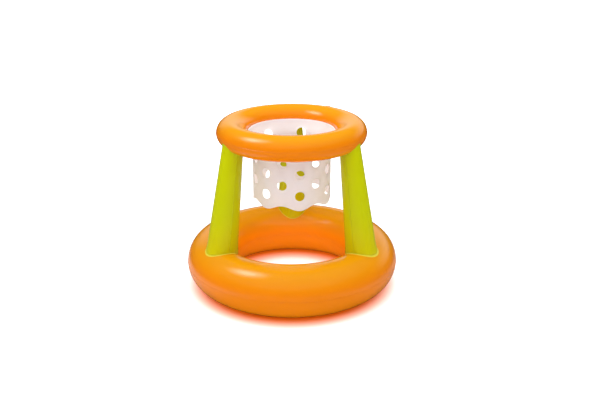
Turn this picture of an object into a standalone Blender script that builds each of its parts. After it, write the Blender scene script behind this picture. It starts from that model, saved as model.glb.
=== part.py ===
import math

import bmesh
import bpy
from mathutils import Matrix, Vector

# A floating basketball hoop of welded vinyl sheet: a base ring and a rim ring full of
# air, three tapered air legs between them, and a punched vinyl net under the rim.
# Metres, +Z up. The floor is z = 0, the hoop's axis is the Z axis, the front faces -Y.

# Vinyl sheet and its welds
SHEET = 0.0003              # thickness of the ring and leg sheets
WELD_GAP = 0.0003           # room left between two sheets that are welded together
RING_FLANGE = 0.0020        # trimmed weld that runs round each ring, inside and outside
RING_STEPS = 48             # facets round a ring

# Base ring
BASE_RADIUS = 0.2570        # hoop's axis to the middle of the tube
BASE_HALF_WIDTH = 0.0760
BASE_HALF_HEIGHT = 0.0793
BASE_FLAT = 0.0220          # width of the flat where the tube lies on the floor
BASE_SPANS = 10             # facets over a panel, from one weld to the other

# Rim ring
RIM_RADIUS = 0.1906         # hoop's axis to the middle of the tube
RIM_HALF_WIDTH = 0.0401
RIM_HALF_HEIGHT = 0.0384
RIM_HEIGHT = 0.4945         # floor to the middle of the tube
RIM_SPANS = 8

# Legs
LEG_AZIMUTHS = {"front_right": -30, "rear": 90, "front_left": 210}
LEG_FOOT_WIDTH = 0.0956     # at the height of the base ring's top
LEG_HEAD_WIDTH = 0.0648     # at the height of the rim's underside
FOOT_INSIDE_SHARE = 0.787   # of the base tube's half width, to the foot's inner side
HEAD_OUTSIDE_SHARE = 1.11   # of the rim tube's half width, to the head's outer side
FOOT_LIP = 0.0070           # weld lip that lies on the base ring round a foot
HEAD_LIP = 0.0030           # weld lip that lies on the rim round a head
LIP_GAP = 0.0007            # weld lip to the round of the ring under it
LEG_SEAM = 0.0025           # weld that stands out along both sides of a leg
SEAM_RUNOUT_SHARE = 0.06    # of the leg's length, over which its side welds run out
LEG_SPANS = 12              # facets over half a leg
LEG_LENGTH_SPANS = 4        # facets along a leg
AIR_HOLE = 0.0120           # bore from the base ring into each leg

# Net
NET_SHEET = 0.0004
NET_TAB = 0.0014            # edge of the net that is welded under the rim's inner weld
NET_DRAW_IN = 0.0275        # rim's inner weld to the hanging net, measured level
NET_SHOULDER = 0.0440       # depth over which the net draws in
NET_DROP = 0.2095           # middle of the rim tube to the mean height of the hem
HEM_WAVE = 0.0075           # rise and fall of the hem about its mean height
LOBES = 7                   # lobes of the hem
LOBE_AZIMUTH = -78.0        # middle of the first lobe, in degrees
COLUMNS_PER_LOBE = 6        # facets round the net for each lobe
SHOULDER_SPANS = 3
HANGING_SPANS = 2
HOLE_WIDTH = 0.0300
HOLE_RISE = 0.0390          # mean height of the hem to the lowest holes
HOLE_PITCH = 0.0665         # from one hole to the next one above it
HOLE_SIDES = 12
LOBE_HOLES = 3              # holes one above another over the middle of a lobe
VALLEY_HOLES = 2            # and half a lobe further on

# Air valves, one for the base ring with its legs and one for the rim
VALVE_STEPS = 16
BASE_VALVE_STEP = 16        # facet round the ring that carries the valve
BASE_VALVE_SPAN = 1         # facet over the upper panel, counted from the outer weld
RIM_VALVE_STEP = 7
RIM_VALVE_SPAN = 1
FLANGE_WIDTH = 0.0240
FLANGE_THICKNESS = 0.0008
WELL_WIDTH = 0.0160         # outside of the well that the stem sinks into
WELL_WALL = 0.0006
WELL_LEDGE = 0.0026         # width of the ledge that stops the stem at the bottom
STEM_WIDTH = 0.0080
STEM_BORE = 0.0052
STEM_LENGTH = 0.0110
STEM_FOOT = 0.0010          # thickness of the disc at the stem's foot
VALVE_SLACK = 0.0003        # least room between the valve's pieces
FOOT_SLACK = 0.0005         # stem's foot to the wall of the well
CAP_WIDTH = 0.0124
CAP_THICKNESS = 0.0012
PIN_LENGTH = 0.0060
PIN_TAPER = 0.0003          # what the pin loses of its radius towards its end
LOOP_THICKNESS = 0.0012
STRAP_WIDTH = 0.0030
STRAP_THICKNESS = 0.0008
FLAP_WIDTH = 0.0072
FLAP_THICKNESS = 0.0004

# Modelling tolerances
MERGE = 0.000001
OVERRUN = 0.0100            # how far a cutter reaches past what it cuts

# Colours, linear
ORANGE = (0.90, 0.29, 0.005)
LIME = (0.56, 0.60, 0.003)
FROSTED = (0.80, 0.72, 0.76)
CLEAR = (0.85, 0.85, 0.83)

UPRIGHT = Vector((0, 0, 1))
HALF_STEP = math.pi / RING_STEPS


class Ring:
    # An air ring: a tube of oval section bent round the Z axis.

    def __init__(self, radius, half_width, half_height, height):
        self.radius = radius
        self.half_width = half_width
        self.half_height = half_height
        self.height = height

    def point(self, angle, azimuth, gap):
        # The angle is 0 at the outer weld, 90 degrees on top, 180 at the inner weld.
        reach = self.radius + (self.half_width + gap) * math.cos(angle)
        rise = (self.half_height + gap) * math.sin(angle)
        return Vector((reach * math.cos(azimuth), reach * math.sin(azimuth), self.height + rise))

    def locate(self, point, gap):
        # The angle and azimuth under a point near the tube.
        out = (math.hypot(point.x, point.y) - self.radius) / (self.half_width + gap)
        rise = (point.z - self.height) / (self.half_height + gap)
        return math.atan2(rise, out), math.atan2(point.y, point.x)

    def is_inside(self, point, gap):
        out = (math.hypot(point.x, point.y) - self.radius) / (self.half_width + gap)
        rise = (point.z - self.height) / (self.half_height + gap)
        return out * out + rise * rise < 1


def base_height():
    # Height of the base tube's middle, with its flat on the floor.
    slope = math.acos(BASE_FLAT / 2 / BASE_HALF_WIDTH)
    return seam_lift() + (BASE_HALF_HEIGHT - seam_lift()) * math.sin(slope)


def seam_lift():
    # From a ring's middle plane to the free face of one weld flange.
    return WELD_GAP / 2 + SHEET


def clear_scene():
    for item in list(bpy.data.objects):
        bpy.data.objects.remove(item, do_unlink=True)


def make_collection(name):
    collection = bpy.data.collections.new(name)
    bpy.context.scene.collection.children.link(collection)
    return collection


def make_material(name, colour, roughness):
    material = bpy.data.materials.new(name)
    material.use_nodes = True
    shader = material.node_tree.nodes["Principled BSDF"]
    shader.inputs["Base Color"].default_value = (*colour, 1)
    shader.inputs["Roughness"].default_value = roughness
    shader.inputs["Metallic"].default_value = 0
    return material


def add_object(name, mesh, collection, material=None):
    item = bpy.data.objects.new(name, mesh)
    collection.objects.link(item)
    if material:
        mesh.materials.append(material)
    return item


def turned(name, profile, steps, collection, material=None, closed=False):
    # A profile of (distance from the axis, height) turned once round the Z axis.
    mesh = bpy.data.meshes.new(name)
    edges = [(i, i + 1) for i in range(len(profile) - 1)]
    if closed:
        edges.append((len(profile) - 1, 0))
    mesh.from_pydata([(reach, 0, height) for reach, height in profile], edges, [])
    item = add_object(name, mesh, collection, material)
    screw = item.modifiers.new("Turn", "SCREW")
    screw.steps = steps
    screw.render_steps = steps
    screw.use_merge_vertices = True
    screw.merge_threshold = MERGE
    return item


def thicken(item, thickness, offset):
    shell = item.modifiers.new("Sheet", "SOLIDIFY")
    shell.thickness = thickness
    shell.offset = offset
    shell.use_even_offset = True


def sheet_from_grid(name, columns, rows, place, collection, material):
    # A flat grid whose corners are put where place(column, row) says.
    work = bmesh.new()
    bmesh.ops.create_grid(work, x_segments=columns, y_segments=rows, size=1)
    for vertex in work.verts:
        column = round((vertex.co.x + 1) / 2 * columns)
        row = round((vertex.co.y + 1) / 2 * rows)
        vertex.co = place(column, row)
    bmesh.ops.remove_doubles(work, verts=work.verts, dist=MERGE)
    mesh = bpy.data.meshes.new(name)
    work.to_mesh(mesh)
    work.free()
    return add_object(name, mesh, collection, material)


def smooth(item):
    # Smooth shading comes before the modifiers, which carry it on.
    for polygon in item.data.polygons:
        polygon.use_smooth = True
    for modifier in item.modifiers:
        if modifier.type == "SCREW":
            modifier.use_smooth_shade = True


def cylinder(name, radius, length, sides, frame, collection):
    work = bmesh.new()
    bmesh.ops.create_cone(work, cap_ends=True, segments=sides, radius1=radius,
                          radius2=radius, depth=length, matrix=frame)
    mesh = bpy.data.meshes.new(name)
    work.to_mesh(mesh)
    work.free()
    return add_object(name, mesh, collection)


def combine(item, other, operation):
    # Cut another object out of an object, or join it on, and leave it as a guide.
    boolean = item.modifiers.new(operation.title(), "BOOLEAN")
    boolean.object = other
    boolean.operation = operation
    boolean.solver = "EXACT"
    other.hide_render = True
    other.display_type = "WIRE"


def upper_arc(ring, spans):
    # The upper panel's outer face, from the inner weld over the top to the outer one.
    lift = seam_lift()
    points = []
    for i in range(spans + 1):
        angle = math.pi * (1 - i / spans)
        points.append((ring.radius + ring.half_width * math.cos(angle),
                       ring.height + lift + (ring.half_height - lift) * math.sin(angle)))
    return points


def upper_profile(ring, spans):
    flange_height = ring.height + seam_lift()
    inner_end = (ring.radius - ring.half_width - RING_FLANGE, flange_height)
    outer_end = (ring.radius + ring.half_width + RING_FLANGE, flange_height)
    return [inner_end] + upper_arc(ring, spans) + [outer_end]


def lower_profile(ring, spans, flat=0):
    # The same the other way up, flattened where it lies on the floor.
    lift = seam_lift()
    points = [(ring.radius + ring.half_width + RING_FLANGE, ring.height - lift)]
    lowest = math.acos(flat / 2 / ring.half_width)
    half = math.ceil(spans / 2) if flat else spans
    ranges = [(0, lowest), (math.pi - lowest, math.pi)] if flat else [(0, math.pi)]
    for start, end in ranges:
        for i in range(half + 1):
            angle = start + (end - start) * i / half
            points.append((ring.radius + ring.half_width * math.cos(angle),
                           ring.height - lift - (ring.half_height - lift) * math.sin(angle)))
    points.append((ring.radius - ring.half_width - RING_FLANGE, ring.height - lift))
    return points


def facet_frame(ring, spans, step, span):
    # A frame on the middle of one facet of a ring's upper panel, with Z pointing out.
    arc = upper_arc(ring, spans)
    low, high = arc[-1 - span], arc[-2 - span]
    shrink = math.cos(HALF_STEP)
    azimuth = (2 * step + 1) * HALF_STEP
    outward = Vector((math.cos(azimuth), math.sin(azimuth), 0))
    centre = outward * ((low[0] + high[0]) / 2 * shrink) + UPRIGHT * ((low[1] + high[1]) / 2)
    uphill = outward * ((high[0] - low[0]) * shrink) + UPRIGHT * (high[1] - low[1])
    uphill.normalize()
    sideways = outward.cross(UPRIGHT)
    normal = uphill.cross(sideways)
    frame = Matrix((uphill, sideways, normal)).transposed().to_4x4()
    frame.translation = centre
    return frame


def make_rings(parts, guides, vinyl):
    base = Ring(BASE_RADIUS, BASE_HALF_WIDTH, BASE_HALF_HEIGHT, base_height())
    rim = Ring(RIM_RADIUS, RIM_HALF_WIDTH, RIM_HALF_HEIGHT, RIM_HEIGHT)
    profiles = {"base_ring_upper_panel": upper_profile(base, BASE_SPANS),
                "base_ring_lower_panel": lower_profile(base, BASE_SPANS, BASE_FLAT),
                "rim_upper_panel": upper_profile(rim, RIM_SPANS),
                "rim_lower_panel": lower_profile(rim, RIM_SPANS)}
    panels = {}
    for name, profile in profiles.items():
        panels[name] = turned(name, profile, RING_STEPS, parts, vinyl)
        smooth(panels[name])
        thicken(panels[name], SHEET, -1)
    for name, azimuth in LEG_AZIMUTHS.items():
        reach = foot_reach()
        turn = math.radians(azimuth)
        middle = Vector((reach * math.cos(turn), reach * math.sin(turn), base.height + base.half_height))
        hole = cylinder("air_hole_" + name, AIR_HOLE / 2, 2 * OVERRUN, VALVE_STEPS,
                        Matrix.Translation(middle), guides)
        combine(panels["base_ring_upper_panel"], hole, "DIFFERENCE")
    return base, rim, panels


def foot_reach():
    return BASE_RADIUS - BASE_HALF_WIDTH * FOOT_INSIDE_SHARE + LEG_FOOT_WIDTH / 2


def head_reach():
    return RIM_RADIUS + RIM_HALF_WIDTH * HEAD_OUTSIDE_SHARE - LEG_HEAD_WIDTH / 2


def mix(start, end, share):
    return start + (end - start) * share


def make_leg_panel(name, azimuth, facing, base, rim, parts, vinyl):
    # One of the two sheets of a leg: facing is 1 for the outer one, -1 for the inner.
    radial = Vector((math.cos(azimuth), math.sin(azimuth), 0))
    sideways = UPRIGHT.cross(radial)
    foot_height = base.height + base.half_height
    head_height = rim.height - rim.half_height

    def direction(turn):
        return radial * (facing * math.cos(turn)) + sideways * (facing * math.sin(turn))

    def wall(turn, along):
        reach = mix(foot_reach(), head_reach(), along) + facing * WELD_GAP / 2
        half_width = mix(LEG_FOOT_WIDTH, LEG_HEAD_WIDTH, along) / 2
        height = mix(foot_height, head_height, along)
        return radial * reach + UPRIGHT * height + direction(turn) * half_width

    def weld_line(ring, turn):
        # How far along the leg this line of its wall reaches the ring.
        inside = (ring.height - foot_height) / (head_height - foot_height)
        outside = 0.5
        while abs(outside - inside) > MERGE:
            middle = (inside + outside) / 2
            if ring.is_inside(wall(turn, middle), LIP_GAP):
                inside = middle
            else:
                outside = middle
        return outside

    def lip(ring, turn, width):
        # The free edge of the weld lip, along the ring's surface from the leg's wall.
        start = wall(turn, weld_line(ring, turn))
        angle, around = ring.locate(start, LIP_GAP)
        outward = Vector((math.cos(around), math.sin(around), 0))
        away = direction(turn)
        speed = math.hypot(ring.half_width * math.sin(angle), ring.half_height * math.cos(angle))
        angle -= math.copysign(width * away.dot(outward) / speed, math.sin(angle) * away.dot(outward))
        around += width * away.dot(UPRIGHT.cross(outward)) / math.hypot(start.x, start.y)
        return ring.point(angle, around, LIP_GAP)

    def place(column, row):
        turn = math.pi * (min(max(column - 1, 0), LEG_SPANS) / LEG_SPANS - 0.5)
        if row == 0:
            return lip(base, turn, FOOT_LIP)
        if row == LEG_LENGTH_SPANS + 2:
            return lip(rim, turn, HEAD_LIP)
        share = (row - 1) / LEG_LENGTH_SPANS
        point = wall(turn, mix(weld_line(base, turn), weld_line(rim, turn), share))
        if column in (0, LEG_SPANS + 2):
            point += direction(turn) * seam_width(share)
        return point

    panel = sheet_from_grid(name, LEG_SPANS + 2, LEG_LENGTH_SPANS + 2, place, parts, vinyl)
    smooth(panel)
    thicken(panel, SHEET, 1)
    return panel


def seam_width(share):
    return LEG_SEAM * min(1, share / SEAM_RUNOUT_SHARE, (1 - share) / SEAM_RUNOUT_SHARE)


def make_legs(base, rim, parts, vinyl):
    for name, degrees in LEG_AZIMUTHS.items():
        for side, facing in (("outer", 1), ("inner", -1)):
            make_leg_panel(f"leg_{name}_{side}_panel", math.radians(degrees), facing,
                           base, rim, parts, vinyl)


def hem_height(azimuth):
    swing = math.cos(LOBES * (azimuth - math.radians(LOBE_AZIMUTH)))
    return RIM_HEIGHT - NET_DROP - HEM_WAVE * swing


def net_top():
    # Reach and height of the corner where the net turns down from its welded tab.
    weld = RIM_RADIUS - RIM_HALF_WIDTH - RING_FLANGE
    return weld - WELD_GAP, RIM_HEIGHT - seam_lift() - WELD_GAP


def make_net(parts, guides, vinyl):
    # One sheet rolled up, its last column lapped inside its first and welded there.
    columns = LOBES * COLUMNS_PER_LOBE + 1
    rows = 1 + SHOULDER_SPANS + HANGING_SPANS
    step = math.tau / (LOBES * COLUMNS_PER_LOBE)
    first = math.radians(LOBE_AZIMUTH) + math.pi + step
    top_reach, top_height = net_top()

    def profile(row, azimuth):
        if row == 0:
            return top_reach + NET_TAB, top_height
        if row <= 1 + SHOULDER_SPANS:
            share = (row - 1) / SHOULDER_SPANS
            return (top_reach - NET_DRAW_IN * math.sin(share * math.pi / 2),
                    top_height - NET_SHOULDER * share)
        share = (row - 1 - SHOULDER_SPANS) / HANGING_SPANS
        return top_reach - NET_DRAW_IN, mix(top_height - NET_SHOULDER, hem_height(azimuth), share)

    def place(column, row):
        azimuth = first + step * column
        reach, height = profile(row, azimuth)
        lap = (NET_SHEET + WELD_GAP) * min(max(column - columns + 2, 0), 1)
        if row <= 1:
            height -= lap
        if row >= 1:
            reach -= lap
        return Vector((reach * math.cos(azimuth), reach * math.sin(azimuth), height))

    net = sheet_from_grid("net", columns, rows, place, parts, vinyl)
    smooth(net)
    thicken(net, NET_SHEET, -1)
    combine(net, make_hole_cutters(guides), "DIFFERENCE")
    return net


def make_hole_cutters(guides):
    # A cylinder for each punched hole, in columns over the lobes and between them.
    work = bmesh.new()
    reach = net_top()[0] - NET_DRAW_IN
    for column in range(2 * LOBES):
        azimuth = math.radians(LOBE_AZIMUTH) + math.pi * column / LOBES
        between = column % 2
        for row in range(VALLEY_HOLES if between else LOBE_HOLES):
            height = RIM_HEIGHT - NET_DROP + HOLE_RISE + HOLE_PITCH * (row + between / 2)
            frame = (Matrix.Rotation(azimuth, 4, "Z") @ Matrix.Translation((reach, 0, height))
                     @ Matrix.Rotation(math.pi / 2, 4, "Y"))
            bmesh.ops.create_cone(work, cap_ends=True, segments=HOLE_SIDES, radius1=HOLE_WIDTH / 2,
                                  radius2=HOLE_WIDTH / 2, depth=4 * OVERRUN, matrix=frame)
    mesh = bpy.data.meshes.new("net_holes")
    work.to_mesh(mesh)
    work.free()
    return add_object("net_holes", mesh, guides)


def make_valve(name, panel, frame, parts, guides, vinyl):
    # A soft air valve, pushed in and closed, standing on one facet of a ring's panel.
    seat = bpy.data.objects.new(name + "_seat", None)
    parts.objects.link(seat)
    seat.matrix_world = frame
    flange_top = WELD_GAP + FLANGE_THICKNESS
    stem_bottom = flange_top - STEM_LENGTH
    well_radius = WELL_WIDTH / 2 - WELL_WALL
    ledge_top = stem_bottom - VALVE_SLACK
    ledge_radius = WELL_WIDTH / 2 - WELL_LEDGE
    ledge_bottom = ledge_top - FLANGE_THICKNESS
    collar = turned(name + "_collar", [
        (well_radius, flange_top), (FLANGE_WIDTH / 2, flange_top),
        (FLANGE_WIDTH / 2, WELD_GAP), (WELL_WIDTH / 2, WELD_GAP),
        (WELL_WIDTH / 2, ledge_bottom), (ledge_radius, ledge_bottom),
        (ledge_radius, ledge_top), (well_radius, ledge_top)], VALVE_STEPS, parts, vinyl, closed=True)
    foot_radius = well_radius - FOOT_SLACK
    foot_top = stem_bottom + STEM_FOOT
    stem = turned(name + "_stem", [
        (STEM_BORE / 2, flange_top), (STEM_WIDTH / 2, flange_top),
        (STEM_WIDTH / 2, foot_top), (foot_radius, foot_top),
        (foot_radius, stem_bottom), (STEM_BORE / 2, stem_bottom)],
        VALVE_STEPS, parts, vinyl, closed=True)
    stopper = make_stopper(name, flange_top + VALVE_SLACK, foot_top + VALVE_SLACK, parts, guides, vinyl)
    flap_middle = stem_bottom - VALVE_SLACK - FLAP_THICKNESS / 2
    flap = cylinder(name + "_check_flap", FLAP_WIDTH / 2, FLAP_THICKNESS, VALVE_STEPS,
                    Matrix.Translation((0, 0, flap_middle)), parts)
    flap.data.materials.append(vinyl)
    bore = cylinder(name + "_bore", WELL_WIDTH / 2 + VALVE_SLACK, 2 * OVERRUN, VALVE_STEPS,
                    Matrix.Identity(4), guides)
    for piece in (collar, stem, stopper, flap, bore):
        piece.parent = seat
    combine(panel, bore, "DIFFERENCE")


def make_stopper(name, cap_bottom, loop_bottom, parts, guides, vinyl):
    # Cap and pin, with a strap down to a loop that runs free round the stem.
    pin_radius = STEM_BORE / 2 - VALVE_SLACK
    pin_bottom = cap_bottom - VALVE_SLACK - PIN_LENGTH
    cap_top = cap_bottom + CAP_THICKNESS
    stopper = turned(name + "_stopper", [
        (0, cap_top), (CAP_WIDTH / 2, cap_top), (CAP_WIDTH / 2, cap_bottom),
        (pin_radius, cap_bottom), (pin_radius - PIN_TAPER, pin_bottom), (0, pin_bottom)],
        VALVE_STEPS, parts, vinyl)
    loop_top = loop_bottom + LOOP_THICKNESS
    loop_radius = STEM_WIDTH / 2 + VALVE_SLACK
    loop = turned(name + "_loop", [
        (loop_radius, loop_top), (CAP_WIDTH / 2, loop_top),
        (CAP_WIDTH / 2, loop_bottom), (loop_radius, loop_bottom)],
        VALVE_STEPS, guides, closed=True)
    strap_bottom = mix(loop_bottom, loop_top, 0.5)
    strap_top = mix(cap_bottom, cap_top, 0.5)
    work = bmesh.new()
    size = Matrix.Diagonal((STRAP_THICKNESS, STRAP_WIDTH, strap_top - strap_bottom, 1))
    middle = Vector((-(CAP_WIDTH - STRAP_THICKNESS) / 2 * math.cos(math.pi / VALVE_STEPS), 0,
                     (strap_top + strap_bottom) / 2))
    bmesh.ops.create_cube(work, size=1, matrix=Matrix.Translation(middle) @ size)
    mesh = bpy.data.meshes.new(name + "_strap")
    work.to_mesh(mesh)
    work.free()
    strap = add_object(name + "_strap", mesh, guides)
    for guide in (loop, strap):
        guide.parent = stopper
        combine(stopper, guide, "UNION")
    return stopper


def main():
    clear_scene()
    parts = make_collection("floating_basketball_hoop")
    guides = make_collection("guides")
    orange_vinyl = make_material("orange_vinyl", ORANGE, 0.25)
    lime_vinyl = make_material("lime_vinyl", LIME, 0.30)
    frosted_vinyl = make_material("frosted_vinyl", FROSTED, 0.40)
    clear_vinyl = make_material("clear_vinyl", CLEAR, 0.25)
    base, rim, panels = make_rings(parts, guides, orange_vinyl)
    make_legs(base, rim, parts, lime_vinyl)
    make_net(parts, guides, frosted_vinyl)
    make_valve("base_valve", panels["base_ring_upper_panel"],
               facet_frame(base, BASE_SPANS, BASE_VALVE_STEP, BASE_VALVE_SPAN),
               parts, guides, clear_vinyl)
    make_valve("rim_valve", panels["rim_upper_panel"],
               facet_frame(rim, RIM_SPANS, RIM_VALVE_STEP, RIM_VALVE_SPAN),
               parts, guides, clear_vinyl)
    bpy.context.view_layer.update()


main()
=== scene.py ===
import math

import bmesh
import bpy
from mathutils import Matrix, Vector, noise


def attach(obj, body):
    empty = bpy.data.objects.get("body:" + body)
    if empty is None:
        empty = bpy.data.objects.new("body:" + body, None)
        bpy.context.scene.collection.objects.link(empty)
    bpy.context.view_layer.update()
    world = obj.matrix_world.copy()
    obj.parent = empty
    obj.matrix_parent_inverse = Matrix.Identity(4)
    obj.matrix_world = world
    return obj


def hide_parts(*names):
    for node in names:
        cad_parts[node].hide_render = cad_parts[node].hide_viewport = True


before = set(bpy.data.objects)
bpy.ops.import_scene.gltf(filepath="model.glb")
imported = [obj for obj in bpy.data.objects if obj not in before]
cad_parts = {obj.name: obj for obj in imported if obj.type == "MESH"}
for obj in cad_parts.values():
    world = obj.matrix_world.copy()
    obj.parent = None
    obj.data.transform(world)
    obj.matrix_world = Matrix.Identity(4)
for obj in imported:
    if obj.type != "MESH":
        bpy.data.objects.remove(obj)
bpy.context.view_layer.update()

# A floating basketball hoop of welded vinyl sheet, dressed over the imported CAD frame.
# Metres, +Z up, the floor is z = 0, the front faces -Y.

print("stage: frame loaded")

# Small tools

class Formula:
    # A number or vector on a wire of a node tree, so that sums can be written as sums.

    def __init__(self, tree, socket):
        self.tree = tree
        self.socket = socket

    def run(self, operation, *others):
        node = self.tree.nodes.new("ShaderNodeMath")
        node.operation = operation
        for slot, value in zip(node.inputs, (self,) + others):
            wire(self.tree, value, slot)
        return Formula(self.tree, node.outputs[0])

    def __add__(self, other):
        return self.run("ADD", other)

    def __radd__(self, other):
        return self.run("ADD", other)

    def __sub__(self, other):
        return self.run("SUBTRACT", other)

    def __rsub__(self, other):
        return (self * -1).run("ADD", other)

    def __mul__(self, other):
        return self.run("MULTIPLY", other)

    def __rmul__(self, other):
        return self.run("MULTIPLY", other)

    def __truediv__(self, other):
        return self.run("DIVIDE", other)

    def clamp(self, low=0.0, high=1.0):
        return self.run("MAXIMUM", low).run("MINIMUM", high)

    def ease(self):
        # a smooth step from 0 to 1
        held = self.clamp()
        return held * held * (3 - 2 * held)


def wire(tree, value, socket):
    if isinstance(value, Formula):
        tree.links.new(value.socket, socket)
    elif isinstance(value, bpy.types.NodeSocket):
        tree.links.new(value, socket)
    else:
        socket.default_value = value


def place(tree, kind, inputs=None, **settings):
    node = tree.nodes.new(kind)
    for name, value in settings.items():
        setattr(node, name, value)
    for name, value in (inputs or {}).items():
        wire(tree, value, node.inputs[name])
    return node


def colourMix(tree, share, first, second):
    node = place(tree, "ShaderNodeMix", data_type="RGBA")
    wire(tree, share, node.inputs[0])
    wire(tree, first, node.inputs[6])
    wire(tree, second, node.inputs[7])
    return node.outputs[2]


def xyz(tree, x, y, z):
    return place(tree, "ShaderNodeCombineXYZ", {"X": x, "Y": y, "Z": z}).outputs[0]


def scaled(tree, tone, factor):
    node = place(tree, "ShaderNodeVectorMath", {0: tone, 1: xyz(tree, factor, factor, factor)},
                 operation="MULTIPLY")
    return node.outputs[0]


def noiseOf(tree, where, scale, detail, roughness=0.5):
    # soft noise between 0 and 1, with a mean of 0.5
    node = place(tree, "ShaderNodeTexNoise", {"Vector": where, "Scale": scale, "Detail": detail,
                                              "Roughness": roughness})
    return Formula(tree, node.outputs["Fac"])


def ramp(value, start, end):
    # 0 as far as start, 1 from end on, and eased between them
    return ((value - start) / (end - start)).ease()


def smoothStep(value):
    held = min(max(value, 0.0), 1.0)
    return held * held * (3 - 2 * held)


def mix(start, end, share):
    return start + (end - start) * share


def newTree(name, sizes):
    # a geometry tree with an input for each size of a piece, and a reader of its inputs
    tree = bpy.data.node_groups.new(name, "GeometryNodeTree")
    for key, value in sizes.items():
        kind = "NodeSocketInt" if isinstance(value, int) else "NodeSocketFloat"
        tree.interface.new_socket(key, in_out="INPUT", socket_type=kind).default_value = value
    tree.interface.new_socket("Material", in_out="INPUT", socket_type="NodeSocketMaterial")
    tree.interface.new_socket("Geometry", in_out="OUTPUT", socket_type="NodeSocketGeometry")
    given = tree.nodes.new("NodeGroupInput").outputs
    return tree, lambda key: Formula(tree, given[key])


def flatGrid(tree, columns, rows, width, depth):
    # a flat grid, with the X and Y of its points
    grid = place(tree, "GeometryNodeMeshGrid", {"Size X": width, "Size Y": depth,
                                                "Vertices X": columns + 1, "Vertices Y": rows + 1})
    where = tree.nodes.new("GeometryNodeInputPosition").outputs[0]
    flat = place(tree, "ShaderNodeSeparateXYZ", {0: where}).outputs
    return grid.outputs["Mesh"], Formula(tree, flat["X"]), Formula(tree, flat["Y"])


def storeMark(tree, geometry, name, value):
    # a value per point that the finish reads
    return place(tree, "GeometryNodeStoreNamedAttribute", {
        "Geometry": geometry, "Name": name, "Value": value},
        data_type="FLOAT", domain="POINT").outputs[0]


def moveTo(tree, geometry, reach, azimuth, height):
    # every point to its place round the hoop's axis
    spot = xyz(tree, reach * azimuth.run("COSINE"), reach * azimuth.run("SINE"), height)
    return place(tree, "GeometryNodeSetPosition", {
        "Geometry": geometry, "Position": spot}).outputs[0]


def endTree(tree, geometry, material):
    real = place(tree, "GeometryNodeRealizeInstances", {"Geometry": geometry})
    finish = place(tree, "GeometryNodeSetMaterial", {
        "Geometry": real.outputs[0], "Material": material})
    wire(tree, finish.outputs[0], tree.nodes.new("NodeGroupOutput").inputs["Geometry"])


def addObject(name, data):
    item = bpy.data.objects.new(name, data)
    bpy.context.scene.collection.objects.link(item)
    return item


def meshFrom(name, work):
    mesh = bpy.data.meshes.new(name)
    work.to_mesh(mesh)
    work.free()
    return mesh


def fromTree(name, tree, values):
    # runs a geometry tree on an empty mesh and keeps the result as a plain mesh
    carrier = addObject(name + "Carrier", bpy.data.meshes.new(name + "Carrier"))
    modifier = carrier.modifiers.new("Build", "NODES")
    modifier.node_group = tree
    for item in tree.interface.items_tree:
        if item.in_out == "INPUT" and item.name in values:
            modifier[item.identifier] = values[item.name]
    graph = bpy.context.evaluated_depsgraph_get()
    mesh = bpy.data.meshes.new_from_object(carrier.evaluated_get(graph), depsgraph=graph)
    bpy.data.objects.remove(carrier, do_unlink=True)
    return pieceFrom(name, mesh)


def pieceFrom(name, mesh):
    mesh.name = name
    piece = addObject(name, mesh)
    for polygon in mesh.polygons:
        polygon.use_smooth = True
    return piece


def dress(piece, material, body, node):
    # finish, body and slot of a piece, and the CAD node that it stands for
    piece.data.materials.clear()
    piece.data.materials.append(material)
    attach(piece, body)
    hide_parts(node)


def settle(piece):
    # applies a piece's modifiers to its mesh
    graph = bpy.context.evaluated_depsgraph_get()
    mesh = bpy.data.meshes.new_from_object(piece.evaluated_get(graph), depsgraph=graph)
    piece.modifiers.clear()
    old = piece.data
    piece.data = mesh
    bpy.data.meshes.remove(old)
    mesh.name = piece.name


def thicken(piece, thickness):
    # gives a sheet its thickness on the inside, so that its outer face stays where it is
    sheet = piece.modifiers.new("Sheet", "SOLIDIFY")
    sheet.thickness = thickness
    sheet.offset = -1
    sheet.use_even_offset = True
    sheet.use_quality_normals = True


def outward(piece, test):
    # turns a whole sheet over if the normal of its first face fails the test
    if not test(piece.data.polygons[0]):
        piece.data.flip_normals()


# Finishes

def newGroup(name, inputs, outputs):
    tree = bpy.data.node_groups.new(name, "ShaderNodeTree")
    for socket, (kind, value) in inputs.items():
        made = tree.interface.new_socket(socket, in_out="INPUT", socket_type=kind)
        made.default_value = value
    for socket, kind in outputs.items():
        tree.interface.new_socket(socket, in_out="OUTPUT", socket_type=kind)
    return tree, tree.nodes.new("NodeGroupInput").outputs, tree.nodes.new("NodeGroupOutput").inputs


# each noise as its scale, detail and roughness; the grain's scale comes from its size
vinylGrain = {"drift": (14.0, 3.0, 0.55), "worn": (55.0, 4.0, 0.6), "wornDepth": 0.10,
              "ripple": (26.0, 2.0, 0.4), "rippleDepth": 0.00015, "grain": (2.0, 0.5),
              "pressedRoughness": 0.12, "smoothest": 0.05, "roughest": 0.9, "crownBegins": 0.1}


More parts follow.
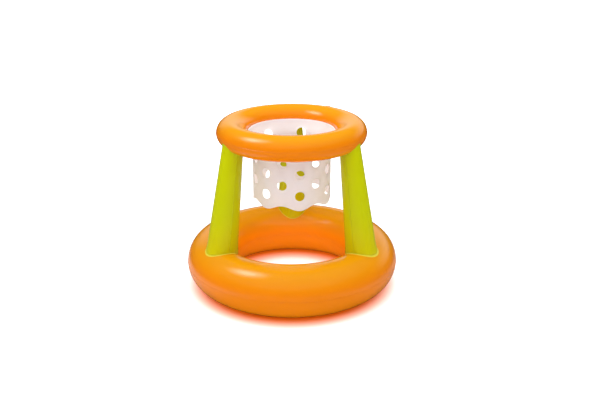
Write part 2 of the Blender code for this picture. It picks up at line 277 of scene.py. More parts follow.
def vinylSkinGroup():
    # tone drift of dyed vinyl, a painted paler crown that stands in for the stronger light on the
    # top of a tube, painted bounce light low down, press marks along the welds, and the fine grain
    # of the sheet
    colour, number = "NodeSocketColor", "NodeSocketFloat"
    grey, white = (0.8, 0.8, 0.8, 1), (1, 1, 1, 1)
    tree, given, out = newGroup("Vinyl skin", {
        "Colour": (colour, grey), "Painted Low Bounce Colour": (colour, grey), "Low Height": (number, 0.0),
        "High Height": (number, 0.1), "Painted Crown Light Colour": (colour, grey),
        "Weld Colour": (colour, white), "Weld Strength": (number, 0.5),
        "Roughness": (number, 0.3), "Grain Size": (number, 0.0006),
        "Grain Depth": (number, 0.00001), "Drift": (number, 0.03)},
        {"Colour": colour, "Roughness": number, "Height": number, "Mark": number})

    def value(name):
        return Formula(tree, given[name])

    def mark(name):
        return Formula(tree, place(tree, "ShaderNodeAttribute", attribute_name=name).outputs["Fac"])

    where = place(tree, "ShaderNodeTexCoord").outputs["Object"]
    height = Formula(tree, place(tree, "ShaderNodeSeparateXYZ", {0: where}).outputs["Z"])
    # painted bounce light: from Low Height up to High Height the tone goes from the lower colour,
    # warmer and brighter, to the plain one, standing in for light bounced up from below and shining
    # through the sheet
    share = ramp(height, value("Low Height"), value("High Height"))
    tone = colourMix(tree, share, given["Painted Low Bounce Colour"], given["Colour"])
    # painted light: the crown colour stands in for the top of the tube lying in more light
    crown = ramp(mark("crown"), vinylGrain["crownBegins"], 1.0)
    tone = colourMix(tree, crown, tone, given["Painted Crown Light Colour"])
    drift = (noiseOf(tree, where, *vinylGrain["drift"]) - 0.5) * value("Drift") * 2
    tone = scaled(tree, tone, drift + 1)
    weld = mark("weld")
    pressed = (weld * value("Weld Strength")).clamp()
    wire(tree, colourMix(tree, pressed, tone, given["Weld Colour"]), out["Colour"])
    worn = (noiseOf(tree, where, *vinylGrain["worn"]) - 0.5) * vinylGrain["wornDepth"]
    rough = value("Roughness") + worn + pressed * vinylGrain["pressedRoughness"]
    rough = rough.clamp(vinylGrain["smoothest"], vinylGrain["roughest"])
    wire(tree, rough, out["Roughness"])
    scale = value("Grain Size").run("POWER", -1.0)
    grain = noiseOf(tree, where, scale, *vinylGrain["grain"])
    ripple = noiseOf(tree, where, *vinylGrain["ripple"])
    bumps = grain * value("Grain Depth") + ripple * vinylGrain["rippleDepth"]
    wire(tree, bumps, out["Height"])
    wire(tree, weld, out["Mark"])
    return tree


vinylSkin = vinylSkinGroup()


def vinylFinish(name, look):
    material = bpy.data.materials.new(name)
    material.use_nodes = True
    tree = material.node_tree
    shader = tree.nodes["Principled BSDF"]
    skin = tree.nodes.new("ShaderNodeGroup")
    skin.node_tree = vinylSkin
    for socket in skin.inputs:
        value = look.get(socket.name, look["Colour"])
        socket.default_value = (*value, 1) if socket.type == "RGBA" else value
    tone = skin.outputs["Colour"]
    if "edge" in look:  # painted light: a frosted sheet is painted paler where it is seen at a slant, standing in for light that comes through it onto its shaded sides
        weight = place(tree, "ShaderNodeLayerWeight", {"Blend": 0.5})
        slant = (Formula(tree, weight.outputs["Facing"]) * look["slant"]).clamp()
        tone = colourMix(tree, slant, tone, (*look["edge"], 1))
    bump = place(tree, "ShaderNodeBump", {"Height": skin.outputs["Height"], "Strength": 1.0,
                                          "Distance": 1.0})
    wire(tree, tone, shader.inputs["Base Color"])
    wire(tree, skin.outputs["Roughness"], shader.inputs["Roughness"])
    wire(tree, bump.outputs["Normal"], shader.inputs["Normal"])
    shader.inputs["Specular IOR Level"].default_value = look["gloss"]
    if "depth" in look:  # welded places are too thick to glow
        glow = (1 - Formula(tree, skin.outputs["Mark"])) * look["depth"]
        wire(tree, glow, shader.inputs["Subsurface Weight"])
        shader.inputs["Subsurface Radius"].default_value = look["reach"]
        shader.inputs["Subsurface Scale"].default_value = 1.0
    return material


# orange: the lower colour is painted bounce light, brighter and redder at the foot of the base ring
# where light comes up from the floor and through the sheet
orangeLook = {"Colour": (0.93, 0.243, 0.002), "Painted Low Bounce Colour": (0.97, 0.285, 0.002),
              # the crown colour is painted light on the tops of the rings
              "Low Height": 0.0, "High Height": 0.10, "Painted Crown Light Colour": (0.83, 0.325, 0.002),
              "Weld Colour": (0.93, 0.30, 0.02),
              "Weld Strength": 0.2, "Roughness": 0.15, "Grain Size": 0.0012,
              "Grain Depth": 0.000012, "Drift": 0.03, "gloss": 0.5}
# lime: the lower colour is painted bounce light, warmer on the lower legs where orange light comes
# up from the base ring
limeLook = {"Colour": (0.575, 0.61, 0.002), "Painted Low Bounce Colour": (0.645, 0.575, 0.002),
            "Low Height": 0.15, "High Height": 0.30, "Weld Colour": (0.92, 0.78, 0.10),
            "Weld Strength": 0.6, "Roughness": 0.15, "Grain Size": 0.0012, "Grain Depth": 0.000012,
            "Drift": 0.05, "gloss": 0.32}
# frosted: the edge colour, mixed in by slant, is painted light on the net's shaded sides
frostedLook = {"Colour": (0.745, 0.72, 0.775), "Painted Low Bounce Colour": (0.745, 0.725, 0.765),
               "Low Height": 0.28, "High Height": 0.45, "Weld Colour": (0.93, 0.90, 0.86),
               "Weld Strength": 0.6, "Roughness": 0.50, "Grain Size": 0.0009,
               "Grain Depth": 0.00003, "Drift": 0.03, "gloss": 0.3, "depth": 0.7,
               "reach": (0.004, 0.004, 0.004),
               "edge": (0.96, 0.93, 0.91), "slant": 1.5}
milkyLook = {"Colour": (0.86, 0.86, 0.83), "Painted Low Bounce Colour": (0.86, 0.86, 0.83),
             "Low Height": 0.0, "High Height": 0.5, "Weld Colour": (0.9, 0.9, 0.88),
             "Weld Strength": 0.3, "Roughness": 0.32, "Grain Size": 0.0007, "Grain Depth": 0.00001,
             "Drift": 0.02, "gloss": 0.5, "depth": 0.4, "reach": (0.003, 0.003, 0.003)}
orangeVinyl = vinylFinish("orangeVinyl", orangeLook)
limeVinyl = vinylFinish("limeVinyl", limeLook)
frostedVinyl = vinylFinish("frostedVinyl", frostedLook)
milkyVinyl = vinylFinish("milkyVinyl", milkyLook)
print("stage: finishes")


# Rings: each is two sheets that are welded inside and outside

baseRing = {"Radius": 0.2570, "Half Width": 0.0760, "Half Height": 0.0793, "Height": 0.0784697,
            "Flange": 0.0005, "Lift": 0.00033, "Beside Weld": 0.0005, "Around": 480, "Across": 42,
            "Narrowing": 0.0, "Pucker Depth": 0.0007, "Pucker Reach": 0.010, "Puckers": 110.0,
            "Seed": 3.0}
rimRing = {"Radius": 0.1906, "Half Width": 0.0401, "Half Height": 0.0384, "Height": 0.4945,
           "Flange": 0.0005, "Lift": 0.00033, "Beside Weld": 0.0005, "Around": 400, "Across": 34,
           "Narrowing": 0.0140, "Pucker Depth": 0.0007, "Pucker Reach": 0.008, "Puckers": 90.0,
           "Seed": 8.0}
# for both rings: how rows crowd towards the inner weld, the weights of the fine and the broad
# puckers, how the weld sways with the broad ones, and how many rows show the mark of a weld
ringSheets = {"crowding": 1.25, "fine": 3.0, "broad": 1.6, "broadScale": 0.45, "broadFades": 0.4,
              "sway": 1.2, "swayRise": 0.7, "markRows": 1.6}
sheetThickness = 0.0003
sharpAngle = math.radians(50)
weldMerge = 0.00001


def mouthSides(turn):
    # 1 at the left and right of the rim's mouth, where it is a little narrower, and 0 between
    return turn.run("COSINE").run("POWER", 4.0)


def ringSheetTree():
    # One sheet of an air ring, from its outer weld over the tube to its inner weld.
    tree, size = newTree("Ring sheet", {**baseRing, "Side": 1.0})
    across = size("Across")
    grid, x, y = flatGrid(tree, size("Around"), across, 1.0, 1.0)
    turn = (x + 0.5) * math.tau
    row = ((y + 0.5) * across).run("ROUND")
    share = ((row - 2) / (across - 4)).clamp()
    eased = 1 - (1 - share).run("POWER", ringSheets["crowding"])
    # a row close beside each weld keeps its crease sharp
    beside = size("Beside Weld") / size("Half Height")
    angle = (eased * (math.pi - 2 * beside)
             + beside * ((row - 1).clamp() + (row - (across - 2)).clamp()))
    cosine, sine = angle.run("COSINE"), angle.run("SINE")
    # 1 on the inner edge of the flange, -1 on the outer one
    tip = (row - (across - 1)).clamp() - (1 - row).clamp()
    inner = (cosine * -1).clamp() * size("Narrowing") * mouthSides(turn)
    reach = size("Radius") + size("Half Width") * cosine - size("Flange") * tip - inner
    rise = size("Lift") + (size("Half Height") - size("Lift")) * sine

    # puckers: the sheet is too long for the inner weld, so it gathers there
    circle = size("Puckers") / math.tau
    ring = xyz(tree, turn.run("COSINE") * circle, turn.run("SINE") * circle, size("Seed"))
    fine = noiseOf(tree, ring, 1.0, 1.0) - 0.5
    broad = noiseOf(tree, ring, ringSheets["broadScale"], 0.0) - 0.5
    away = (math.pi - angle) * size("Half Height") / size("Pucker Reach")
    near = (away * -1).run("EXPONENT")
    far = (away * -ringSheets["broadFades"]).run("EXPONENT")
    fold = (fine.run("ABSOLUTE") * near * ringSheets["fine"]
            + broad.run("ABSOLUTE") * far * ringSheets["broad"]) * size("Pucker Depth")
    sway = broad * near * size("Pucker Depth") * ringSheets["sway"]
    reach = reach + cosine * fold * -1 * (1 - tip.clamp()) + sway
    rise = rise - sine * fold
    height = size("Height") + size("Side") * rise + sway * ringSheets["swayRise"]

    # the marks that the finish reads are stored while the grid still lies flat
    rows = ringSheets["markRows"]
    weld = ((1 - row / rows).clamp() + (1 - (across - row) / rows).clamp()).clamp()
    marked = storeMark(tree, storeMark(tree, grid, "weld", weld), "crown", sine * size("Side"))
    moved = moveTo(tree, marked, reach, turn, height.run("MAXIMUM", 0.0))
    closed = place(tree, "GeometryNodeMergeByDistance", {"Geometry": moved, "Distance": weldMerge})
    endTree(tree, closed.outputs[0], size("Material"))
    return tree


class Tube:
    # the smooth round of an air ring, for what is welded to it

    def __init__(self, sizes):
        self.radius, self.height = sizes["Radius"], sizes["Height"]
        self.wide, self.tall = sizes["Half Width"], sizes["Half Height"]

    def point(self, angle, azimuth, gap):
        reach = self.radius + (self.wide + gap) * math.cos(angle)
        rise = (self.tall + gap) * math.sin(angle)
        return Vector((reach * math.cos(azimuth), reach * math.sin(azimuth), self.height + rise))

    def locate(self, point, gap):
        out = (math.hypot(point.x, point.y) - self.radius) / (self.wide + gap)
        rise = (point.z - self.height) / (self.tall + gap)
        return math.atan2(rise, out), math.atan2(point.y, point.x)

    def holds(self, point, gap):
        out = (math.hypot(point.x, point.y) - self.radius) / (self.wide + gap)
        rise = (point.z - self.height) / (self.tall + gap)
        return out * out + rise * rise < 1


# the valves' places are the CAD model's: where each stands on its ring, and the way it points
valveSeats = {
    "base": {"origin": (-0.179554, 0.268722, 0.114276),
             "axis": (-0.4988853, 0.7466347, 0.4400568)},
    "rim": {"origin": (0.123794, 0.185271, 0.515629),
            "axis": (0.454174, 0.6797194, 0.5759405)}}
valveBed = {"flatRadius": 0.0128, "blendRadius": 0.0290, "boreRadius": 0.0083, "boreSides": 48,
            "depth": 0.012}


def seatFrame(seat):
    axis = Vector(seat["axis"]).normalized()
    side = axis.cross(Vector((0, 0, 1))).normalized()
    uphill = side.cross(axis)
    placed = Matrix((uphill, side, axis)).transposed().to_4x4()
    placed.translation = Vector(seat["origin"])
    return placed


def bedValve(piece, seat):
    # the stiff collar holds the sheet flat round the valve
    here = seatFrame(seat)
    back = here.inverted()
    flat, blend = valveBed["flatRadius"], valveBed["blendRadius"]
    for vertex in piece.data.vertices:
        local = back @ vertex.co
        off = math.hypot(local.x, local.y)
        if off < blend and abs(local.z) < valveBed["depth"]:
            local.z *= smoothStep((off - flat) / (blend - flat))
            vertex.co = here @ local


def boreValve(piece, seat):
    work = bmesh.new()
    radius = valveBed["boreRadius"]
    bmesh.ops.create_cone(work, cap_ends=True, segments=valveBed["boreSides"], radius1=radius,
                          radius2=radius, depth=valveBed["depth"], matrix=seatFrame(seat))
    mesh = meshFrom("bore", work)
    cutter = addObject("bore", mesh)
    cut = piece.modifiers.new("Bore", "BOOLEAN")
    cut.object = cutter
    cut.operation = "DIFFERENCE"
    cut.solver = "EXACT"
    settle(piece)
    bpy.data.objects.remove(cutter, do_unlink=True)
    bpy.data.meshes.remove(mesh)


def makeRings():
    tree = ringSheetTree()
    for ringName, sizes, node, seat in (("baseRing", baseRing, "base_ring", valveSeats["base"]),
                                        ("rimRing", rimRing, "rim", valveSeats["rim"])):
        for side, sheetName, panel in ((1.0, "UpperSheet", "upper_panel"),
                                       (-1.0, "LowerSheet", "lower_panel")):
            piece = fromTree(ringName + sheetName, tree,
                             {**sizes, "Side": side, "Material": orangeVinyl})
            outward(piece, lambda face: face.normal.z * side > 0)
            if side > 0:
                bedValve(piece, seat)
            thicken(piece, sheetThickness)
            settle(piece)
            if side > 0:
                boreValve(piece, seat)
            dress(piece, orangeVinyl, "hoop", f"{node}_{panel}")
            print("stage:", piece.name, len(piece.data.polygons), "faces")


makeRings()


# Legs: two sheets each, lofted between the rounds of the rings

legs = {"azimuths": {"FrontRight": -30, "Rear": 90, "FrontLeft": 210},
        "footWidth": 0.0956, "headWidth": 0.0648,
        "footInsideShare": 0.787, "headOutsideShare": 1.11,
        "footLip": {"FrontRight": 0.0050, "Rear": 0.0014, "FrontLeft": 0.0034},
        "outerLip": 0.0008, "headLip": 0.0030, "lipGap": 0.0004, "lipRows": 4, "lipCrowding": 1.15,
        "seam": 0.0016, "seamRunout": 0.06, "weldGap": 0.0003,
        "around": 72, "along": 110, "footRows": (0.55, 1.5), "headRows": (0.45, 1.2),
        "gatherDepth": 0.0009, "gatherReach": 0.011, "gathers": 26, "gatherSway": 0.25,
        "swaySpread": 2.2, "swayScale": 1.3, "swaySeed": 3, "bulge": 0.0016, "bulgeHeight": 0.006,
        "creaseDepth": 0.0013, "creaseWidth": 0.07, "creaseLead": 0.3, "creaseBegins": 0.15,
        "creaseEnds": 0.25, "halvings": 24,
        "heldColumns": 3, "footHeld": 0.003, "headHeld": 0.004,
        "footMark": 0.001, "seamMark": 0.3, "headMark": 0.2}
# soft lengthwise creases of each leg: turn round the leg in degrees, depth, and the shares of its
# length that it runs from and to
creases = {"FrontRight": ((-38, 1.0, 0.02, 0.75), (-10, 0.8, 0.0, 0.55), (18, 0.7, 0.1, 1.0),
                          (52, 0.9, 0.0, 0.8), (150, 0.8, 0.1, 0.9), (215, 0.7, 0.0, 0.7)),
           "Rear": ((-30, 0.8, 0.0, 0.7), (25, 0.7, 0.2, 1.0), (160, 0.9, 0.0, 0.6),
                    (205, 0.8, 0.2, 0.9)),
           "FrontLeft": ((-48, 0.9, 0.0, 0.6), (-14, 0.5, 0.3, 1.0), (30, 0.8, 0.0, 0.5),
                         (140, 0.7, 0.1, 0.9), (220, 0.8, 0.0, 0.8))}
legNodes = {"FrontRight": "leg_front_right", "Rear": "leg_rear", "FrontLeft": "leg_front_left"}
legMerge = 0.00002
baseTube, rimTube = Tube(baseRing), Tube(rimRing)


def crowded(share):
    # rows lie closer towards the foot and towards the head
    (foot, footPower), (head, headPower) = legs["footRows"], legs["headRows"]
    return foot * share ** footPower + head * (1 - (1 - share) ** headPower)


def makeLegSheet(legName, facing):
    azimuth = math.radians(legs["azimuths"][legName])
    radial = Vector((math.cos(azimuth), math.sin(azimuth), 0))
    sideways = Vector((0, 0, 1)).cross(radial)
    footHeight, headHeight = baseTube.height + baseTube.tall, rimTube.height - rimTube.tall
    length = headHeight - footHeight
    footReach = baseTube.radius - baseTube.wide * legs["footInsideShare"] + legs["footWidth"] / 2
    headReach = rimTube.radius + rimTube.wide * legs["headOutsideShare"] - legs["headWidth"] / 2
    gap = legs["lipGap"]

    def direction(turn):
        return radial * (facing * math.cos(turn)) + sideways * (facing * math.sin(turn))

    def wall(turn, along):
        reach = mix(footReach, headReach, along) + facing * legs["weldGap"] / 2
        halfWidth = mix(legs["footWidth"], legs["headWidth"], along) / 2
        return (radial * reach + Vector((0, 0, mix(footHeight, headHeight, along)))
                + direction(turn) * halfWidth)

    def weldLine(tube, turn):
        # where the wall meets a ring, as a share of the leg's length, found by halving
        inside = (tube.height - footHeight) / length
        outside = 0.5
        for _ in range(legs["halvings"]):
            middle = (inside + outside) / 2
            if tube.holds(wall(turn, middle), gap):
                inside = middle
            else:
                outside = middle
        return outside

    def lip(tube, turn, width):
        # a point of the lip that lies on a ring, a given width away from the wall
        start = wall(turn, weldLine(tube, turn))
        angle, around = tube.locate(start, gap)
        outwards = Vector((math.cos(around), math.sin(around), 0))
        away = direction(turn)
        speed = math.hypot(tube.wide * math.sin(angle), tube.tall * math.cos(angle))
        angle -= math.copysign(width * away.dot(outwards) / speed,
                               math.sin(angle) * away.dot(outwards))
        along = away.dot(Vector((0, 0, 1)).cross(outwards))
        return tube.point(angle, around + width * along / math.hypot(start.x, start.y), gap)

    def inset(turn, height, share):
        # how far the wall is drawn in: gathers above the foot's weld, and soft creases
        degrees = math.degrees(turn) + (0 if facing > 0 else 180)
        angle, spread = math.radians(degrees), legs["swaySpread"]
        spot = Vector((math.cos(angle) * spread, math.sin(angle) * spread,
                       azimuth * legs["swaySeed"]))
        sway = legs["gatherSway"] * noise.noise(spot * legs["swayScale"])
        ripple = 0.5 + 0.5 * math.cos(legs["gathers"] * (angle + sway))
        depth = legs["gatherDepth"] * ripple ** 2 * math.exp(-height / legs["gatherReach"])
        for middle, strength, first, last in creases[legName]:
            apart = math.radians((degrees - middle + 180) % 360 - 180)
            runs = (smoothStep((share - first) / legs["creaseBegins"] + legs["creaseLead"])
                    * smoothStep((last - share) / legs["creaseEnds"]))
            depth += (legs["creaseDepth"] * strength * runs
                      * math.exp(-(apart / legs["creaseWidth"]) ** 2))
        return depth

    columns, rows, lips = legs["around"], legs["along"], legs["lipRows"]
    points, weld = [], []
    for column in range(-1, columns + 2):
        turn = math.pi * (min(max(column, 0), columns) / columns - 0.5)
        low, high = weldLine(baseTube, turn), weldLine(rimTube, turn)
        footLip = legs["footLip"][legName] + legs["outerLip"] * max(0, facing * math.cos(turn))
        for row in range(-lips, rows + lips + 1):
            if row < 0:
                spot = lip(baseTube, turn, footLip * (-row / lips) ** legs["lipCrowding"])
                mark = 1.0
            elif row > rows:
                past = (row - rows) / lips
                spot = lip(rimTube, turn, legs["headLip"] * past ** legs["lipCrowding"])
                mark = legs["headMark"]
            else:
                share = crowded(row / rows)
                along = mix(low, high, share)
                height = (along - low) * length
                spot = wall(turn, along)
                if column in (-1, columns + 1):  # the weld that stands out along both sides
                    runout = legs["seamRunout"]
                    spot += (direction(turn) * legs["seam"]
                             * min(1, share / runout, (1 - share) / runout))
                    mark = legs["seamMark"]
                else:
                    held = smoothStep(min(column, columns - column) / legs["heldColumns"])
                    free = (smoothStep(height / legs["footHeld"])
                            * smoothStep((high - along) * length / legs["headHeld"]))
                    rise = height / legs["bulgeHeight"]
                    swell = legs["bulge"] * rise * math.exp(1 - rise)
                    spot -= direction(turn) * (inset(turn, height, share) * free - swell) * held
                    mark = math.exp(-height / legs["footMark"])
            points.append(spot)
            weld.append(mark)
    count = rows + 2 * lips + 1
    faces = []
    for column in range(columns + 2):
        for row in range(count - 1):
            first = column * count + row
            faces.append((first, first + count, first + count + 1, first + 1))
    mesh = bpy.data.meshes.new("leg")
    mesh.from_pydata(points, [], faces)
    attribute = mesh.attributes.new("weld", "FLOAT", "POINT")
    attribute.data.foreach_set("value", weld)
    work = bmesh.new()
    work.from_mesh(mesh)
    bmesh.ops.remove_doubles(work, verts=work.verts, dist=legMerge)
    work.to_mesh(mesh)
    work.free()
    side = "Outer" if facing > 0 else "Inner"
    piece = pieceFrom(f"leg{legName}{side}Sheet", mesh)
    middle = mesh.polygons[len(mesh.polygons) // 2]
    if middle.normal.dot(radial * facing) < 0:
        mesh.flip_normals()
    thicken(piece, sheetThickness)
    settle(piece)
    dress(piece, limeVinyl, "hoop", f"{legNodes[legName]}_{side.lower()}_panel")
    print("stage:", piece.name, len(piece.data.polygons), "faces")


for legName in legs["azimuths"]:
    for facing in (1, -1):
        makeLegSheet(legName, facing)


# Net: one punched sheet, rolled up and lapped at the right side

net = {"Tab Reach": 0.1482, "Top": 0.49375, "Tab": 0.0014, "Draw In": 0.0275, "Shoulder": 0.0440,
       "Hem": 0.2850, "Hem Wave": 0.0075, "Lobes": 7.0, "First Lobe": -78.0, "Hole Width": 0.0300,
       "Lowest Hole": 0.3240, "Hole Pitch": 0.0665, "Lap": 0.0005, "Flutter": 0.0012,
       "Flutter Turns": 1.9, "Flutter Rise": 5.0, "Flutter Drop": 0.2, "Seed": 5.0,
       "Narrowing": rimRing["Narrowing"]}
netSheet = 0.0004
# the sheet as cut: once round the rim's weld with the lap, and from the weld to a lobe's tip
# a cell of the grid holds one hole; edgeRows lie above the cells and again below them
netCells = {"columns": 12, "rows": 16, "holeColumns": 14, "holeRows": 3, "edgeRows": 2,
            "lapColumns": 2, "lapAfter": 3, "lapBegins": 3, "lapEases": 2.5}
netMarks = {"tabRows": 1.6, "holeRim": 0.7, "holeRimFades": 5}


def punchedNetTree():
    # A flat grid in cells of one hole each. The faces in the middle of a cell go, the rest
    # of the cell is drawn to a round hole, and then the sheet is rolled up.
    tree, size = newTree("Punched net", net)
    perCell, perPitch, cells = netCells["columns"], netCells["rows"], netCells["holeColumns"]
    holeRows, edgeRows = netCells["holeRows"], netCells["edgeRows"]
    lapColumns = netCells["lapColumns"]
    columns, rows = perCell * cells + lapColumns, holeRows * perPitch + 2 * edgeRows
    grid, x, y = flatGrid(tree, columns, rows, float(columns), float(rows))
    column = x + columns / 2
    row = y * -1 + rows / 2  # 0 at the welded tab, counted down
    pitch = size("Hole Pitch")
    cellTop = size("Lowest Hole") + pitch * (holeRows - 0.5)
    cellRow = (row - edgeRows).clamp(0, holeRows * perPitch)
    above = (edgeRows - row).clamp()
    below = ((row - (rows - edgeRows)) / edgeRows).clamp()
    height = (cellTop - cellRow * (pitch / perPitch) + (size("Top") - cellTop) * above
              - (cellTop - pitch * holeRows - size("Hem")) * below)

    # the place round the net in hole columns, and where a point lies in its cell
    station = netCells["lapAfter"] + (column + perCell / 2 - lapColumns / 2) / perCell
    index = station.run("ROUND")
    between = index.run("FLOORED_MODULO", 2.0)  # 1 where the holes sit half a pitch further up
    first = size("Lowest Hole") + pitch * between * 0.5
    number = ((height - first) / pitch).run("ROUND").clamp(0.0, holeRows - 1 - between)
    acrossCell = station - index
    upCell = (height - first) / pitch - number
    # 0 in the middle of a cell, 0.5 on the hole's rim and 1 on the cell's edge; the small numbers
    # beside the limits take up rounding
    ringStep = acrossCell.run("ABSOLUTE").run("MAXIMUM", upCell.run("ABSOLUTE")) * 2
    inCell = (1.0001 - ringStep).run("GREATER_THAN", 0.0)
    gone = inCell * (0.5 - ringStep).run("GREATER_THAN", 0.001)
    punched = place(tree, "GeometryNodeDeleteGeometry", {"Geometry": grid, "Selection": gone},
                    domain="FACE", mode="ALL")

    # round holes: from a circle on the rim back to the square of the cell
    cellWidth = (size("Tab Reach") - size("Draw In")) * (math.tau / cells)
    length = (acrossCell * acrossCell + upCell * upCell).run("SQRT").run("MAXIMUM", 0.0001)
    out = ((ringStep - 0.5) * 2).clamp()
    half = size("Hole Width") / 2
    scale = ringStep.run("MAXIMUM", 0.0001)
    newAcross = mix(acrossCell / length * half, acrossCell * cellWidth / scale, out)
    newUp = mix(upCell / length * half, upCell * pitch / scale, out)
    aside = (newAcross / cellWidth - acrossCell) * inCell
    firstLobe = size("First Lobe") * (math.pi / 180)
    azimuth = (station + aside) * (math.tau / cells) + firstLobe
    height = height + (newUp - upCell * pitch) * inCell

    # rolled up: tab, shoulder, straight fall, waved hem
    drawn = ((size("Top") - height) / size("Shoulder")).clamp()
    shoulder = (drawn * (math.pi / 2)).run("SINE")
    oval = size("Narrowing") * mouthSides(azimuth) * (1 - shoulder)
    reach = (size("Tab Reach") - size("Draw In") * shoulder - oval
             + size("Tab") * (1 - row).clamp())
    hem = ((azimuth - firstLobe) * size("Lobes")).run("COSINE") * size("Hem Wave")
    height = height - hem * ramp(height, size("Lowest Hole") - half, size("Hem"))
    lapped = ((column - (perCell * cells - netCells["lapBegins"])) / netCells["lapEases"]).ease()
    reach = reach - size("Lap") * lapped * (row - 0.5).clamp(0, 0.5) * 2
    height = height - size("Lap") * lapped * (1.5 - row).clamp(0, 0.5) * 2
    hang = ((size("Top") - height) / size("Flutter Drop")).clamp()
    turns = size("Flutter Turns")
    swirl = xyz(tree, azimuth.run("COSINE") * turns, azimuth.run("SINE") * turns,
                height * size("Flutter Rise") + size("Seed"))
    reach = reach + (noiseOf(tree, swirl, 1.0, 1.0) - 0.5) * 2 * size("Flutter") * hang

    # the finish reads where the sheet is welded, doubled or cut
    holeRim = inCell * (1 - (ringStep - 0.5) * netMarks["holeRimFades"]).clamp()
    edge = ((netMarks["tabRows"] - row).clamp()
            + column.run("GREATER_THAN", perCell * cells - 0.1)
            + column.run("LESS_THAN", lapColumns + 0.1) + (row - (rows - 1)).clamp()
            + holeRim * netMarks["holeRim"]).clamp()
    marked = storeMark(tree, punched.outputs[0], "weld", edge)
    endTree(tree, moveTo(tree, marked, reach, azimuth, height), size("Material"))
    return tree


def makeNet():
    piece = fromTree("punchedNet", punchedNetTree(), {**net, "Material": frostedVinyl})
    outward(piece, lambda face: face.normal.dot(Vector((face.center.x, face.center.y, 0))) > 0
            or face.normal.z > 0.5)
    subdivide = piece.modifiers.new("Round", "SUBSURF")
    subdivide.levels = subdivide.render_levels = 1
    settle(piece)
    thicken(piece, netSheet)
    settle(piece)
    piece.data.set_sharp_from_angle(angle=sharpAngle)
    dress(piece, frostedVinyl, "hoop", "net")


makeNet()


# Air valves: collar with its well, stem, check flap and stopper

# turned profiles, as (radius, height) in millimetres from the sheet that the collar lies on
valveProfiles = {
    "collar": ((7.4, 1.1), (8.7, 1.1), (8.9, 0.8), (9.4, 0.8), (9.6, 1.1), (10.3, 1.1), (10.5, 0.8),
               (11.0, 0.8), (11.2, 1.1), (11.8, 1.0), (12.0, 0.7), (12.0, 0.05), (8.0, 0.05),
               (8.0, -11.0), (5.4, -11.0), (5.4, -10.2), (7.4, -10.2)),
    "stem": ((2.6, 0.8), (2.9, 1.1), (4.0, 1.1), (4.0, 0.2), (3.75, -0.1), (3.75, -6.6),
             (4.0, -6.9), (4.0, -8.9), (6.9, -8.9), (6.9, -9.9), (2.6, -9.9)),
    "check_flap": ((0.0, -10.2), (3.6, -10.2), (3.6, -10.6), (0.0, -10.6)),
    "stopper": ((0.0, 2.3), (3.9, 2.3), (4.5, 2.6), (5.7, 2.6), (6.2, 2.3), (6.2, 1.8), (5.9, 1.4),
                (2.3, 1.4), (2.3, -0.6), (2.42, -1.1), (2.42, -1.5), (2.2, -2.0), (2.0, -4.5),
                (1.6, -4.9), (0.0, -4.9)),
    "loop": ((4.3, -7.4), (6.2, -7.4), (6.2, -8.6), (4.3, -8.6))}
valveStrap = {"width": 3.0, "thickness": 0.8, "place": -5.69, "top": 2.0, "bottom": -8.0}
valveSteps = 72
valveEdge = {"width": 0.00012, "segments": 2, "from": 28}
millimetre = 0.001


def turnedPiece(name, profile):
    # a profile turned round the valve's own axis: closed, unless it starts and ends on the axis
    onAxis = profile[0][0] == 0
    work = bmesh.new()
    rings = []
    for radius, height in profile:
        steps = 1 if radius == 0 else valveSteps
        rings.append([work.verts.new((radius * millimetre * math.cos(math.tau * step / valveSteps),
                                      radius * millimetre * math.sin(math.tau * step / valveSteps),
                                      height * millimetre)) for step in range(steps)])
    pairs = list(zip(rings, rings[1:])) + ([] if onAxis else [(rings[-1], rings[0])])
    for upper, lower in pairs:
        for step in range(valveSteps):
            following = (step + 1) % valveSteps
            corners = [upper[step % len(upper)], lower[step % len(lower)],
                       lower[following % len(lower)], upper[following % len(upper)]]
            work.faces.new(list(dict.fromkeys(corners)))
    bmesh.ops.recalc_face_normals(work, faces=work.faces)
    return pieceFrom(name, meshFrom(name, work))


def joinTo(piece, others):
    for other in others:
        union = piece.modifiers.new("Join", "BOOLEAN")
        union.object = other
        union.operation = "UNION"
        union.solver = "EXACT"
    settle(piece)
    for other in others:
        bpy.data.objects.remove(other, do_unlink=True)


def strapPiece():
    work = bmesh.new()
    middle = (valveStrap["top"] + valveStrap["bottom"]) / 2
    size = (valveStrap["thickness"], valveStrap["width"], valveStrap["top"] - valveStrap["bottom"])
    bmesh.ops.create_cube(work, size=millimetre, matrix=Matrix.Translation(
        (valveStrap["place"] * millimetre, 0, middle * millimetre)) @ Matrix.Diagonal((*size, 1)))
    return pieceFrom("strap", meshFrom("strap", work))


def finishValvePiece(piece, seat, body, node):
    edge = piece.modifiers.new("Edge", "BEVEL")
    edge.width = valveEdge["width"]
    edge.segments = valveEdge["segments"]
    edge.limit_method = "ANGLE"
    edge.angle_limit = math.radians(valveEdge["from"])
    settle(piece)
    piece.data.transform(seatFrame(seat))
    piece.data.set_sharp_from_angle(angle=sharpAngle)
    dress(piece, milkyVinyl, body, node)


def makeValve(ring, seat):
    for part in ("collar", "stem", "check_flap", "stopper"):
        node = f"{ring}_valve_{part}"
        piece = turnedPiece(node + "Moulding", valveProfiles[part])
        if part == "stopper":
            joinTo(piece, [turnedPiece("loop", valveProfiles["loop"]), strapPiece()])
        bodies = {"collar": "hoop", "stopper": f"{ring}_valve_stopper"}
        body = bodies.get(part, f"{ring}_valve_stem")
        finishValvePiece(piece, seat, body, node)
    print("stage:", ring, "valve")


for ring, seat in valveSeats.items():
    makeValve(ring, seat)


# Camera, lights and floor

